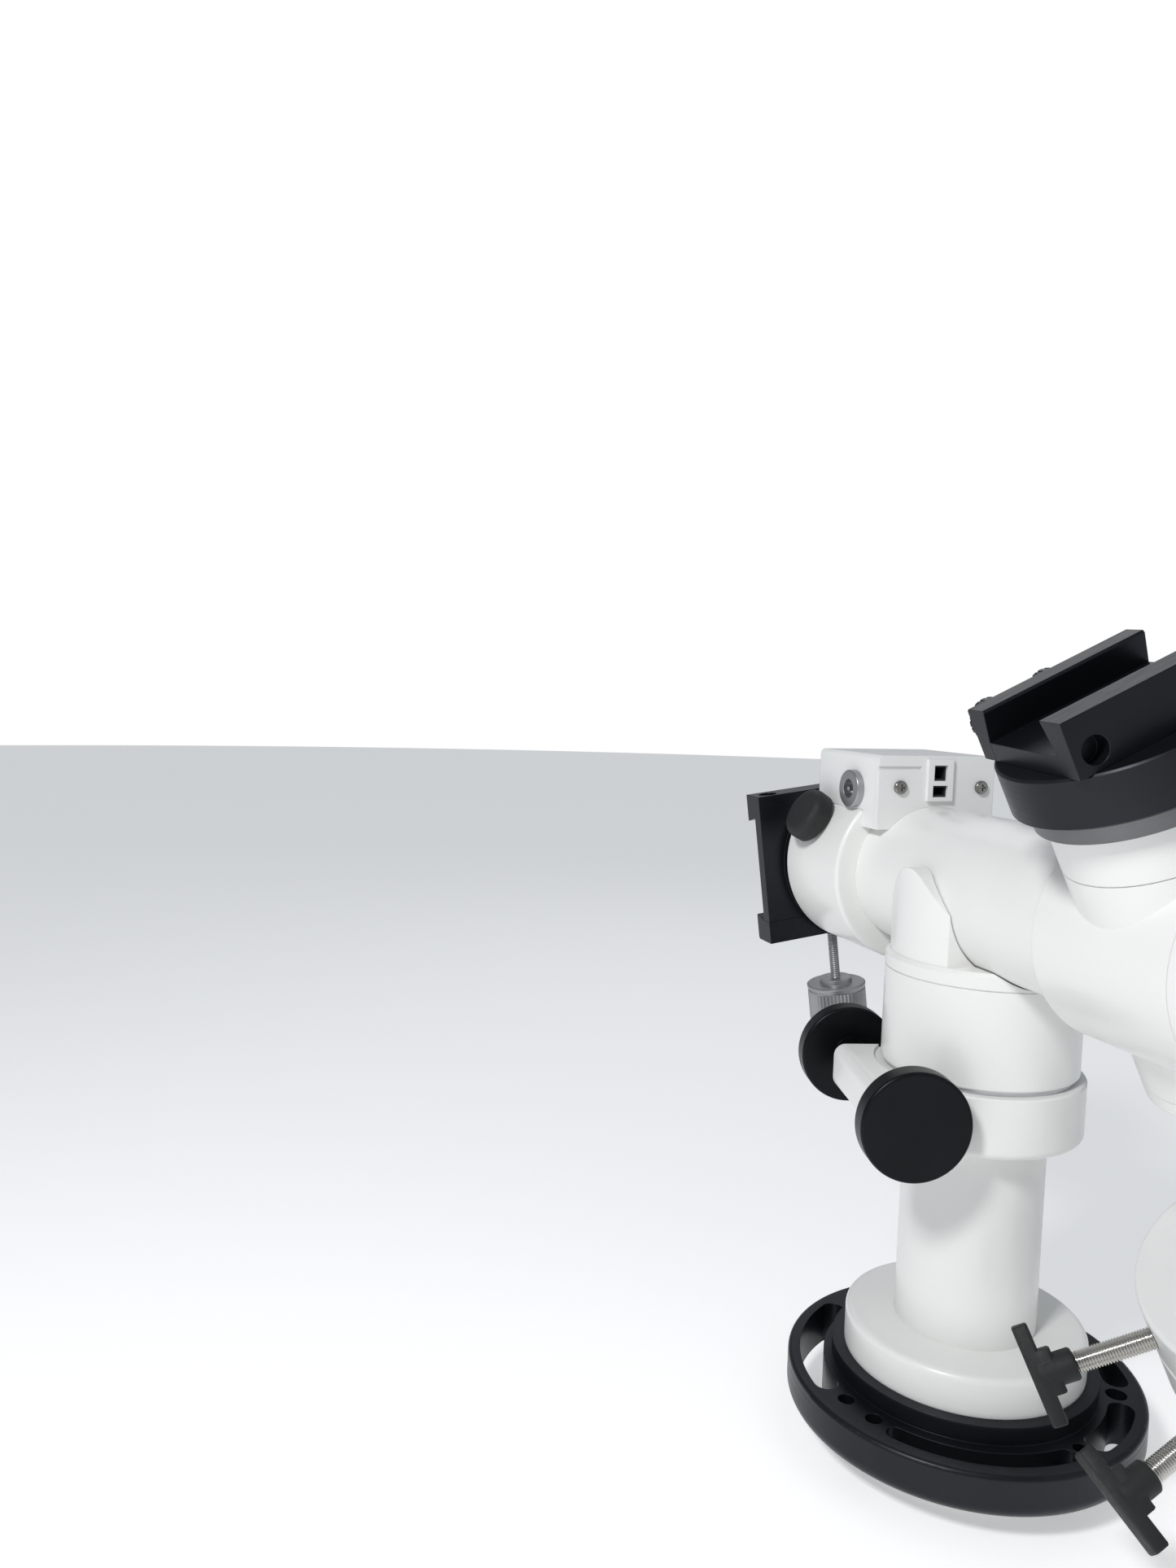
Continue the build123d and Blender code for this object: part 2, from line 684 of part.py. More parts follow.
def panel_screws():
    with BuildPart() as screws:
        with BuildSketch(ra_plane(BOX_X[1] + PANEL_T)):
            for y in SCREW_Y:
                with Locations((y, SCREW_Z)):
                    Circle(3.6)
        extrude(amount=2)
        fillet(screws.faces().sort_by(Axis.X)[-2:].edges(), 0.9)
        with BuildSketch(ra_plane(BOX_X[1] + PANEL_T + 1)):
            for y in SCREW_Y:
                with Locations((y, SCREW_Z)):
                    Rectangle(3.6, 0.8)
                    Rectangle(0.8, 3.6)
        extrude(amount=2, mode=Mode.SUBTRACT)
        with BuildSketch(ra_plane(BOX_X[1] - 9)):
            for y in SCREW_Y:
                with Locations((y, SCREW_Z)):
                    Circle(1.5)
        extrude(amount=9 + PANEL_T)
    save(screws.part, "panel_screws")


def power_socket():
    with BuildPart() as socket:
        with BuildSketch(socket_plane(0)):
            Circle(10)
        extrude(amount=4)
        fillet(socket.edges().sort_by(Axis.Y)[:1], 0.8)
        with BuildSketch(socket_plane(0)):
            Circle(6.5)
        extrude(amount=-3)
        with BuildSketch(socket_plane(5)):
            Circle(5)
            Circle(1.2, mode=Mode.SUBTRACT)
        extrude(amount=-7, mode=Mode.SUBTRACT)
    save(socket.part, "power_socket")


# ---------------------------------------------------------------- declination barrel
def dec_housing():
    reach = DEC_BARREL_X[1] - DEC_BARREL_X[0]
    with BuildPart() as barrel:
        with BuildSketch(ra_plane(DEC_BARREL_X[0])):
            Circle(DEC_BARREL_R)
        extrude(amount=reach)
        chamfer(barrel.faces().sort_by(Axis.X)[0].edges(), 1)
        with BuildSketch(dec_plane(0)):
            Circle(NECK_R)
        extrude(amount=NECK_TOP, both=True)
        with BuildSketch(ra_plane(DEC_BARREL_X[0] + DEC_WALL)):
            Circle(DEC_BARREL_R - DEC_WALL)
        extrude(amount=reach, mode=Mode.SUBTRACT)
        with BuildSketch(dec_plane(0)):
            Circle(RA_BORE_R)
        extrude(amount=60, both=True, mode=Mode.SUBTRACT)
        with BuildSketch(ra_plane(DEC_BARREL_X[0])):
            Circle(SHAFT_R + FIT)
        extrude(amount=DEC_WALL, mode=Mode.SUBTRACT)
    save(barrel.part, "dec_housing")


def dec_end_cap():
    with BuildPart() as cap:
        with BuildSketch(ra_plane(DEC_BARREL_X[1])):
            Circle(DEC_BARREL_R)
        extrude(amount=DEC_CAP_END - DEC_BARREL_X[1])
        fillet(cap.faces().sort_by(Axis.X)[-1].edges(), 3)
        with BuildSketch(ra_plane(DEC_BARREL_X[1])):
            Circle(DEC_BARREL_R - DEC_WALL)
        extrude(amount=DEC_CAP_END - DEC_BARREL_X[1] - DEC_WALL, mode=Mode.SUBTRACT)
        with BuildSketch(ra_plane(DEC_CAP_END)):
            Circle(36)
            Circle(35, mode=Mode.SUBTRACT)
        extrude(amount=-1, mode=Mode.SUBTRACT)
        with BuildSketch(ra_plane(DEC_CAP_END)):
            with PolarLocations(40, 4, start_angle=45):
                Circle(2.3)
        extrude(amount=-DEC_WALL, mode=Mode.SUBTRACT)
    save(cap.part, "dec_end_cap")


def dec_cap_screws():
    with BuildPart() as screws:
        with BuildSketch(ra_plane(DEC_CAP_END)):
            with PolarLocations(40, 4, start_angle=45):
                Circle(2.9)
                RegularPolygon(1.5, 6, mode=Mode.SUBTRACT)
        extrude(amount=1.6)
        with BuildSketch(ra_plane(DEC_CAP_END)):
            with PolarLocations(40, 4, start_angle=45):
                Circle(2.2)
        extrude(amount=-DEC_WALL)
    save(screws.part, "dec_cap_screws")


def ra_shaft_nut():
    with BuildPart() as nut:
        with BuildSketch(ra_plane(DEC_BARREL_X[0] + DEC_WALL)):
            Circle(25)
            with PolarLocations(25, 4):
                Rectangle(6, 5, mode=Mode.SUBTRACT)
            Circle(SHAFT_R + FIT, mode=Mode.SUBTRACT)
        extrude(amount=4.4)
    save(nut.part, "ra_shaft_nut")


# ---------------------------------------------------------------- declination axis
def dec_shaft():
    with BuildPart() as shaft:
        with BuildSketch(dec_plane(-NECK_TOP + GAP)):
            Circle(SHAFT_R)
        extrude(amount=NECK_TOP - GAP + 86)
        with BuildSketch(dec_plane(-60)):
            Circle(SHAFT_BORE_R)
        extrude(amount=200, mode=Mode.SUBTRACT)
    save(shaft.part, "dec_shaft")


def four_circles(radius):
    """Four holes or screws around the declination shaft."""
    with PolarLocations(DISC_SCREW_R, 4, start_angle=45):
        Circle(radius)


def neck_cover():
    with BuildPart() as cover:
        with BuildSketch(dec_plane(NECK_TOP + GAP)):
            Circle(NECK_R)
            Circle(SHAFT_R + FIT, mode=Mode.SUBTRACT)
        extrude(amount=COVER_TOP - NECK_TOP - GAP)
        with BuildSketch(dec_plane(NECK_TOP + GAP)):
            Circle(NECK_R - 4)
        extrude(amount=12, mode=Mode.SUBTRACT)
        with BuildSketch(dec_plane(NECK_TOP)):
            four_circles(2.5 + FIT)
        extrude(amount=30, mode=Mode.SUBTRACT)
    save(cover.part, "neck_cover")


def setting_ring():
    with BuildPart() as band:
        with BuildSketch(dec_plane(COVER_TOP)):
            Circle(RING_R)
            Circle(SHAFT_R + FIT, mode=Mode.SUBTRACT)
        extrude(amount=RING_TOP - COVER_TOP)
        with BuildSketch(dec_plane(COVER_TOP)):
            four_circles(2.5 + FIT)
        extrude(amount=30, mode=Mode.SUBTRACT)
    save(band.part, "setting_ring")


def saddle_disc():
    with BuildPart() as disc:
        with BuildSketch(dec_plane(RING_TOP)):
            Circle(DISC_R)
        extrude(amount=DISC_TOP - RING_TOP)
        chamfer(disc.edges().filter_by(GeomType.CIRCLE), 0.8)
        with BuildSketch(dec_plane(RING_TOP)):
            Circle(SHAFT_R + FIT)
        extrude(amount=86.2 - RING_TOP, mode=Mode.SUBTRACT)
        with BuildSketch(dec_plane(RING_TOP)):
            four_circles(2.5 + FIT)
        extrude(amount=30, mode=Mode.SUBTRACT)
        with BuildSketch(dec_plane(DISC_TOP - 6)):
            four_circles(4.8)
        extrude(amount=8, mode=Mode.SUBTRACT)
        with BuildSketch(saddle_plane(DISC_TOP)):
            with Locations((0, 12), (0, -12)):
                Circle(2.5 + FIT)
        extrude(amount=-10, mode=Mode.SUBTRACT)
    save(disc.part, "saddle_disc")


def disc_screws():
    """Screws of the saddle disc, and the two that hold the saddle on it."""
    with BuildPart() as screws:
        with BuildSketch(saddle_plane(DISC_TOP + SADDLE_FLOOR - 3.5)):
            with Locations((0, 12), (0, -12)):
                Circle(4.5)
                RegularPolygon(2, 6, mode=Mode.SUBTRACT)
        extrude(amount=3)
        with BuildSketch(saddle_plane(DISC_TOP + SADDLE_FLOOR - 3.5)):
            with Locations((0, 12), (0, -12)):
                Circle(2.5)
        extrude(amount=-SADDLE_FLOOR - 5)
        with BuildSketch(dec_plane(DISC_TOP - 6)):
            four_circles(4.5)
        extrude(amount=5)
        with BuildSketch(dec_plane(COVER_TOP - 5)):
            four_circles(2.5)
        extrude(amount=DISC_TOP - 6 - COVER_TOP + 5)
    save(screws.part, "disc_screws")


# ---------------------------------------------------------------- dovetail saddles
def saddle_plane(q):
    """Mounting plane of the main saddle; its local y runs along the groove."""
    a = radians(SADDLE_TURN)
    x_dir = (cos(a), -sin(a) * DEC_Z, sin(a) * DEC_Y)
    origin = (DEC_X, DEC_Y * q, RA_Z + DEC_Z * q)
    return Plane(origin=origin, x_dir=x_dir, z_dir=(0, DEC_Y, DEC_Z))


def rear_saddle_plane():
    """Plane at the back of the polar shaft; local x runs across the rear groove."""
    a = radians(REAR_TURN)
    return Plane(origin=(REAR_DISC_X, 0, RA_Z), x_dir=(0, -sin(a), cos(a)), z_dir=(-1, 0, 0))


def saddle(name, plane, half, gap, length, floor, top, screws,
           knob_r, knob_x, knob_l, bolts=(), foot=None):
    """Dovetail saddle: a base with one fixed jaw, a sliding jaw and its clamp knobs.

    Local x runs across the groove, from the sliding jaw to the fixed one.
    """
    lean = (top - floor) * tan(radians(15))
    across = Plane(origin=plane.origin, x_dir=plane.x_dir, z_dir=-plane.y_dir)
    side = Plane(origin=plane.origin, x_dir=plane.y_dir, z_dir=plane.x_dir)
    rod_z = floor / 2
    rod_r = 0.4 * floor
    with BuildPart() as base:
        with BuildSketch(across):
            with BuildLine():
                Polyline((-gap, 0), (half, 0), (half, top), (gap - lean, top), (gap, floor), (-gap, floor),
                         close=True)
            make_face()
        extrude(amount=length / 2, both=True)
        with BuildSketch(side.offset(-half)):
            with Locations(*[(y, rod_z) for y in screws]):
                Circle(rod_r + FIT)
        extrude(amount=2 * half - 8, mode=Mode.SUBTRACT)
        if bolts:
            with BuildSketch(plane):
                with Locations(*[(0, y) for y in bolts]):
                    Circle(2.5 + FIT)
            extrude(amount=floor, mode=Mode.SUBTRACT)
            with BuildSketch(plane.offset(floor - 3.5)):
                with Locations(*[(0, y) for y in bolts]):
                    Circle(4.8)
            extrude(amount=4, mode=Mode.SUBTRACT)
        if foot:
            with BuildSketch(plane):
                Circle(foot[0])
                Circle(SHAFT_R + FIT, mode=Mode.SUBTRACT)
            extrude(amount=-foot[1])
        with BuildSketch(side.offset(half)):
            with Locations((-length / 2 + 9, floor - 0.5), (length / 2 - 9, floor - 0.5)):
                Circle(5.3)
        extrude(amount=-7, mode=Mode.SUBTRACT)
    save(base.part, f"{name}_base")

    with BuildPart() as jaw:
        with BuildSketch(across):
            with BuildLine():
                Polyline((-half, GAP), (-gap - GAP, GAP), (-gap - GAP, floor + GAP), (lean - gap, top),
                         (-half, top), close=True)
            make_face()
        extrude(amount=length / 2, both=True)
        long_edges = jaw.edges().filter_by(lambda e: e.length > length - 1)
        chamfer(long_edges.sort_by(Axis(plane.origin, plane.z_dir))[-2:], 1)
        with BuildSketch(side.offset(-half)):
            with Locations(*[(y, rod_z) for y in screws]):
                Circle(rod_r + FIT)
        extrude(amount=half, mode=Mode.SUBTRACT)
    save(jaw.part, f"{name}_jaw")

    for i, y in enumerate(screws):
        ending = f"_{i + 1}" if len(screws) > 1 else ""
        with BuildPart() as knob:
            with BuildSketch(side.offset(knob_x - 2)):
                with Locations((y, rod_z)):
                    Circle(rod_r)
            extrude(amount=-knob_x + 2 - gap + 12)
            with BuildSketch(side.offset(knob_x)):
                with Locations((y, rod_z)):
                    Circle(knob_r)
                    with PolarLocations(knob_r + 0.3, 18):
                        Circle(knob_r * 0.07, mode=Mode.SUBTRACT)
            extrude(amount=-knob_l)
            with BuildSketch(side.offset(knob_x)):
                with Locations((y, rod_z)):
                    Circle(0.55 * knob_r)
            extrude(amount=3)
        save(knob.part, f"{name}_knob{ending}")


# ---------------------------------------------------------------- counterweights
def counterweight_adapter():
    """Cone that closes the lower neck and takes the end of the counterweight shaft."""
    with BuildPart() as cone:
        with BuildSketch(dec_plane(-NECK_TOP)):
            Circle(NECK_R)
        extrude(amount=-6)
        with BuildSketch(dec_plane(-NECK_TOP - 6)):
            Circle(NECK_R)
        with BuildSketch(dec_plane(-NECK_TOP - 20)):
            Circle(17)
        loft()
        with BuildSketch(dec_plane(-NECK_TOP - 5)):
            Circle(7 + FIT)
        extrude(amount=-20, mode=Mode.SUBTRACT)
    save(cone.part, "counterweight_adapter")


def counterweight_shaft():
    end_of_cone = -NECK_TOP - 20
    with BuildPart() as bar:
        with BuildSketch(dec_plane(end_of_cone)):
            Circle(CW_SHAFT_R)
        extrude(amount=CW_SHAFT_END - end_of_cone)
        with BuildSketch(dec_plane(end_of_cone)):
            Circle(7)
        extrude(amount=14)
        with BuildSketch(dec_plane(CW_SHAFT_END)):
            Circle(4 + FIT)
        extrude(amount=20, mode=Mode.SUBTRACT)
    save(bar.part, "counterweight_shaft")


def toe_saver():
    with BuildPart() as stop:
        with BuildSketch(dec_plane(CW_SHAFT_END)):
            Circle(16)
        extrude(amount=-6)
        fillet(stop.edges(), 1.2)
        with BuildSketch(dec_plane(CW_SHAFT_END - 6)):
            Circle(8)
            with PolarLocations(8.6, 16):
                Circle(1, mode=Mode.SUBTRACT)
        extrude(amount=-7)
        with BuildSketch(dec_plane(CW_SHAFT_END)):
            Circle(4)
        extrude(amount=18)
    save(stop.part, "toe_saver")


def counterweight(number):
    """A round weight and the T bolt that clamps it on the shaft."""
    top = CW_TOP - (number - 1) * (CW_T + GAP)
    middle = dec_plane(top - CW_T / 2)
    turn = radians(T_BOLT_TURN[number - 1])
    rod_dir = cos(turn) * middle.y_dir + sin(turn) * middle.x_dir
    rod_plane = Plane(origin=middle.origin, x_dir=middle.z_dir, z_dir=rod_dir)
    with BuildPart() as weight:
        with BuildSketch(dec_plane(top)):
            Circle(CW_R)
        extrude(amount=-CW_T)
        fillet(weight.edges(), 2)
        with BuildSketch(dec_plane(top)):
            Circle(CW_SHAFT_R + FIT)
        extrude(amount=-CW_T, mode=Mode.SUBTRACT)
        with BuildSketch(rod_plane):
            Circle(T_ROD_R + FIT)
        extrude(amount=CW_R + 5, mode=Mode.SUBTRACT)
    save(weight.part, f"counterweight_{number}")

    with BuildPart() as bolt:
        with BuildSketch(rod_plane.offset(CW_SHAFT_R + GAP)):
            Circle(T_ROD_R)
        extrude(amount=T_BAR_OUT - CW_SHAFT_R)
    save(bolt.part, f"t_bolt_{number}")

    spin = radians(T_BAR_TURN[number - 1])
    bar_dir = cos(spin) * middle.z_dir + sin(spin) * middle.z_dir.cross(rod_dir)
    bar_plane = Plane(origin=middle.origin + rod_dir * T_BAR_OUT, x_dir=bar_dir, z_dir=rod_dir)
    with BuildPart() as handle:
        with BuildSketch(bar_plane.offset(-T_BAR_T / 2)):
            RectangleRounded(T_BAR_L, T_BAR_W, 1.5)
        extrude(amount=T_BAR_T)
        fillet(handle.faces().sort_by(Axis(bar_plane.origin, rod_dir))[-1].edges(), 1.2)
        with BuildSketch(bar_plane.offset(-T_BAR_T / 2)):
            Rectangle(18, T_BAR_W)
        extrude(amount=-5)
        with BuildSketch(bar_plane.offset(-T_HUB_L)):
            Circle(T_HUB_R)
        extrude(amount=T_HUB_L - T_BAR_T / 2)
        with BuildSketch(bar_plane.offset(-T_HUB_L)):
            Circle(T_ROD_R + FIT)
        extrude(amount=T_HUB_L + 0.6, mode=Mode.SUBTRACT)
    save(handle.part, f"t_handle_{number}")


# ---------------------------------------------------------------- build everything
os.makedirs("parts", exist_ok=True)

pier_plate()
pillar_bolts()
pillar()
azimuth_bearings()
azimuth_screw(1, "front")
azimuth_screw(-1, "rear")
azimuth_fork()
azimuth_spindle()
spindle_nut()
azimuth_peg()
latitude_pivots()
latitude_lock()

ra_housing()
ra_drive_case()
ra_clutch_knob()
bearing_pair("ra_bearings", (ra_plane(-60), ra_plane(72)))
worm_drive("ra", ra_plane(-99))
ra_shaft()
ra_shaft_nut()

control_box()
control_panel()
control_sockets()
panel_screws()
power_socket()

dec_housing()
dec_end_cap()
dec_cap_screws()
bearing_pair("dec_bearings", (dec_plane(35), dec_plane(-35 - BEARING_L)))
worm_drive("dec", Plane(origin=dec_plane(5).origin, x_dir=(0, -DEC_Z, DEC_Y), z_dir=(0, -DEC_Y, -DEC_Z)))
dec_shaft()
neck_cover()
setting_ring()
saddle_disc()
disc_screws()
saddle("saddle", saddle_plane(DISC_TOP), half=31, gap=22.5, length=72, floor=SADDLE_FLOOR, top=21.6,
       screws=(14, -14), knob_r=9, knob_x=-48, knob_l=14, bolts=(12, -12))
saddle("rear_saddle", rear_saddle_plane(),
       half=43, gap=30, length=120, floor=7, top=16,
       screws=(-19,), knob_r=17, knob_x=-74, knob_l=22,
       foot=(47.5, CASE_X[0] - GAP - REAR_DISC_X))

counterweight_adapter()
counterweight_shaft()
toe_saver()
counterweight(1)
counterweight(2)
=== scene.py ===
"""Looks of the equatorial mount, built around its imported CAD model.

Everything is in metres in the CAD frame: +Z up, origin at the middle of the pier
plate's underside, +X along the level polar axis.
"""
import json
from math import cos, pi, radians, sin

import bmesh
import bpy
from mathutils import Matrix, Vector


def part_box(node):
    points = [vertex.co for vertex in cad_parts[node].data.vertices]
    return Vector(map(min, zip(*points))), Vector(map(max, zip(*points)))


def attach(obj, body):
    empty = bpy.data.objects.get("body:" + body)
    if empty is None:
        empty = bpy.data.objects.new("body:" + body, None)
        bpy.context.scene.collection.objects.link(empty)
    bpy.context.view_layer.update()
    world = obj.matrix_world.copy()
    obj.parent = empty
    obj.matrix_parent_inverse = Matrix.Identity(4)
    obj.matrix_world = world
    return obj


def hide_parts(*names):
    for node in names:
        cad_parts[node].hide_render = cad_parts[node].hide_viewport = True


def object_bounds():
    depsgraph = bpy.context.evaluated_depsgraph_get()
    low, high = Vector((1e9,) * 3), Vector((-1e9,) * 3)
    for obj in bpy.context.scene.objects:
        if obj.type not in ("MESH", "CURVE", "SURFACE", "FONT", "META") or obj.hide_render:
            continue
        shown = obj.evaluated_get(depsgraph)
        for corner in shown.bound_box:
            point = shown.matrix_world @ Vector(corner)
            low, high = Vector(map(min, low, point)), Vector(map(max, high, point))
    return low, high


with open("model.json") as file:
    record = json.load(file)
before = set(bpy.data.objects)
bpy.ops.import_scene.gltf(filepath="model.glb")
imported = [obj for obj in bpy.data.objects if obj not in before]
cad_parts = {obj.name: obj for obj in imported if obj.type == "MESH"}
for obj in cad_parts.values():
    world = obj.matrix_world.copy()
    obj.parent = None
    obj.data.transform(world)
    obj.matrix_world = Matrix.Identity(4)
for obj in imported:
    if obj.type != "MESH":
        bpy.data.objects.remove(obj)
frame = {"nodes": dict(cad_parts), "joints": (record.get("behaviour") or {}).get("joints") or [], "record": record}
cad_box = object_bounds()

MM = 0.001
JOINTS = {joint["name"]: joint for joint in frame["joints"]}
BODY_OF = {node: body for body, nodes in frame["record"]["behaviour"]["bodies"].items() for node in nodes}
COLOURS = {entry["slot"]: entry["base_color"] for entry in frame["record"]["materials"]}
SLOTS = {entry["node"]: entry["material_slot"] for entry in frame["record"]["subparts"]}

UP = Vector((0, 0, 1))
POLAR_AXIS = Vector(JOINTS["right_ascension"]["axis"]).normalized()
POLAR_CENTRE = Vector(JOINTS["right_ascension"]["pos_m"])
DEC_AXIS = Vector(JOINTS["declination"]["axis"]).normalized()
DEC_CENTRE = Vector(JOINTS["declination"]["pos_m"])
SADDLE_ACROSS = Vector(JOINTS["saddle_jaw_slide"]["axis"]).normalized()
SADDLE_ALONG = DEC_AXIS.cross(SADDLE_ACROSS)
REAR_ACROSS = Vector(JOINTS["rear_jaw_slide"]["axis"]).normalized()
REAR_ALONG = POLAR_AXIS.cross(REAR_ACROSS)


# ---------------------------------------------------------------- places on the frame
def joint_line(name):
    """A point on a hinge's axis and the axis itself."""
    return Vector(JOINTS[name]["pos_m"]), Vector(JOINTS[name]["axis"]).normalized()


def extent(node, origin, axis):
    """Lowest and highest reach of a CAD node along an axis, and its radius about it."""
    points = [vertex.co - origin for vertex in frame["nodes"][node].data.vertices]
    heights = [point.dot(axis) for point in points]
    radius = max((point - axis * height).length for point, height in zip(points, heights))
    return min(heights), max(heights), radius


def placed(origin, axis, towards):
    """Matrix whose z runs along the axis and whose x points as near as it can to a direction."""
    x = (towards - axis * towards.dot(axis)).normalized()
    y = axis.cross(x)
    turn = Matrix((x, y, axis)).transposed().to_4x4()
    return Matrix.Translation(origin) @ turn


# ---------------------------------------------------------------- shader helpers
class Surface:
    """A procedural material with one Principled shader, in metres of object space."""

    def __init__(self, name, metallic=0.0, coat=0.0, coat_roughness=0.1, ior=1.5):
        self.material = bpy.data.materials.new(name)
        self.material.use_nodes = True
        self.tree = self.material.node_tree
        self.shader = self.tree.nodes["Principled BSDF"]
        self.shader.inputs["Metallic"].default_value = metallic
        self.shader.inputs["Coat Weight"].default_value = coat
        self.shader.inputs["Coat Roughness"].default_value = coat_roughness
        self.shader.inputs["IOR"].default_value = ior
        self.place = self.tree.nodes.new("ShaderNodeTexCoord").outputs["Object"]

    def node(self, kind, **settings):
        made = self.tree.nodes.new(kind)
        for key, value in settings.items():
            setattr(made, key, value)
        return made

    def feed(self, value, socket):
        """Links an output, or sets a plain value."""
        if isinstance(value, bpy.types.NodeSocket):
            self.tree.links.new(value, socket)
        else:
            socket.default_value = value

    def vector_math(self, operation, first, second):
        made = self.node("ShaderNodeVectorMath", operation=operation)
        self.feed(first, made.inputs[0])
        self.feed(second, made.inputs["Scale" if operation == "SCALE" else 1])
        return made.outputs["Value" if operation in ("DOT_PRODUCT", "LENGTH") else "Vector"]

    def arithmetic(self, operation, first, second):
        made = self.node("ShaderNodeMath", operation=operation)
        self.feed(first, made.inputs[0])
        self.feed(second, made.inputs[1])
        return made.outputs[0]

    def noise(self, scale, detail=3.0, place=None):
        made = self.node("ShaderNodeTexNoise")
        self.feed(place or self.place, made.inputs["Vector"])
        made.inputs["Scale"].default_value = scale
        made.inputs["Detail"].default_value = detail
        return made.outputs["Fac"]

    def cells(self, scale):
        made = self.node("ShaderNodeTexVoronoi", feature="SMOOTH_F1")
        self.feed(self.place, made.inputs["Vector"])
        made.inputs["Scale"].default_value = scale
        return made.outputs["Distance"]

    def spread(self, value, low, high, start=0.3, end=0.7):
        """Maps a texture value onto a range."""
        made = self.node("ShaderNodeMapRange")
        self.feed(value, made.inputs["Value"])
        made.inputs["From Min"].default_value = start
        made.inputs["From Max"].default_value = end
        made.inputs["To Min"].default_value = low
        made.inputs["To Max"].default_value = high
        return made.outputs["Result"]

    def blend(self, factor, first, second):
        made = self.node("ShaderNodeMix", data_type="RGBA")
        self.feed(factor, made.inputs[0])
        self.feed(first, made.inputs[6])
        self.feed(second, made.inputs[7])
        return made.outputs[2]

    def turned(self, origin, axis):
        """Coordinates that change only across the marks a lathe leaves about an axis."""
        offset = self.vector_math("SUBTRACT", self.place, tuple(origin))
        height = self.vector_math("DOT_PRODUCT", offset, tuple(axis))
        across = self.node("ShaderNodeVectorMath", operation="CROSS_PRODUCT")
        self.feed(offset, across.inputs[0])
        self.feed(tuple(axis), across.inputs[1])
        radius = self.vector_math("LENGTH", across.outputs["Vector"], (0, 0, 0))
        joined = self.node("ShaderNodeCombineXYZ")
        self.feed(radius, joined.inputs["X"])
        self.feed(height, joined.inputs["Y"])
        return joined.outputs["Vector"]

    def brushed(self, along, stretch=0.03):
        """Coordinates squeezed along one direction, for marks that run that way."""
        run = self.vector_math("DOT_PRODUCT", self.place, tuple(along))
        pull = self.vector_math("SCALE", tuple(along), self.arithmetic("MULTIPLY", run, stretch - 1))
        return self.vector_math("ADD", self.place, pull)

    def edge(self, radius):
        """Rounded shading normal, and a mask that is bright along sharp edges, with which the materials paint
        highlight and shade there.
        """
        rounded = self.node("ShaderNodeBevel", samples=6)
        rounded.inputs["Radius"].default_value = radius
        true = self.node("ShaderNodeNewGeometry").outputs["Normal"]
        facing = self.vector_math("DOT_PRODUCT", rounded.outputs["Normal"], true)
        return rounded.outputs["Normal"], self.spread(facing, 1.0, 0.0, start=0.75, end=0.99)

    def finish(self, colour, roughness, heights, normal=None):
        """heights holds (texture value, strength, distance) of each layer of relief."""
        self.feed(colour, self.shader.inputs["Base Color"])
        self.feed(roughness, self.shader.inputs["Roughness"])
        for height, strength, distance in heights:
            bump = self.node("ShaderNodeBump")
            bump.inputs["Strength"].default_value = strength
            bump.inputs["Distance"].default_value = distance
            self.feed(height, bump.inputs["Height"])
            if normal:
                self.feed(normal, bump.inputs["Normal"])
            normal = bump.outputs["Normal"]
        self.feed(normal, self.shader.inputs["Normal"])
        return self.material


def shade(colour, factor):
    return (*[channel * factor for channel in colour], 1.0)


# ---------------------------------------------------------------- materials
def powder_coat(name, colour, peel=0.10):
    """Semi-gloss off-white paint with orange peel, faint mottling, and painted shade that darkens it along sharp
    edges and in creases.
    """
    skin = Surface(name, coat=0.35, coat_roughness=0.16)
    rounded, edges = skin.edge(0.7 * MM)
    mottle = skin.spread(skin.noise(14, 4), 0.0, 1.0)
    tint = skin.blend(mottle, shade(colour, 0.955), shade(colour, 1.0))
    # Painted shade: the colour is darker along sharp edges and in creases.
    tint = skin.blend(skin.arithmetic("MULTIPLY", edges, 0.25), tint, shade(colour, 0.80))
    specks = skin.spread(skin.noise(1700, 1), 0.0, 0.35, start=0.70, end=0.78)
    tint = skin.blend(specks, tint, shade(colour, 0.72))
    gloss = skin.spread(skin.noise(55, 5), 0.30, 0.42)
    heights = [(skin.noise(520, 2), peel, 0.2 * MM), (skin.noise(2600, 2), 0.5 * peel, 0.05 * MM)]
    return skin.finish(tint, gloss, heights, rounded)


def anodised(name, colour, marks, edge_sheen=0.5, metallic=0.75):
    """Satin anodised aluminium; marks gives the coordinates of its tool marks."""
    skin = Surface(name, metallic=metallic)
    rounded, edges = skin.edge(0.5 * MM)
    place = marks(skin)
    lines = skin.noise(2400, 3, place)
    cloud = skin.spread(skin.noise(26, 4), 0.0, 1.0)
    tint = skin.blend(cloud, shade(colour, 0.85), shade(colour, 1.12))
    # Painted highlight: the colour is lighter along sharp edges.
    tint = skin.blend(skin.arithmetic("MULTIPLY", edges, edge_sheen), tint, shade(colour, 3.2))
    gloss = skin.spread(lines, 0.30, 0.44)
    heights = [(lines, 0.10, 0.04 * MM), (skin.noise(5200, 2), 0.22, 0.03 * MM)]
    return skin.finish(tint, gloss, heights, rounded)


def bare_metal(name, colour, marks, gloss_range=(0.18, 0.34), depth=0.18):
    """Machined metal with fine tool marks and a slightly uneven tone."""
    skin = Surface(name, metallic=1.0)
    rounded, edges = skin.edge(0.3 * MM)
    lines = skin.noise(3600, 4, marks(skin))
    tint = skin.blend(skin.spread(lines, 0.0, 1.0), shade(colour, 0.82), shade(colour, 1.08))
    tint = skin.blend(skin.spread(skin.noise(70, 4), 0.0, 0.35), tint, shade(colour, 0.70))
    # Painted highlight: the colour is lighter along sharp edges.
    tint = skin.blend(skin.arithmetic("MULTIPLY", edges, 0.4), tint, shade(colour, 1.25))
    gloss = skin.spread(skin.noise(90, 4), *gloss_range)
    return skin.finish(tint, gloss, [(lines, depth, 0.03 * MM)], rounded)


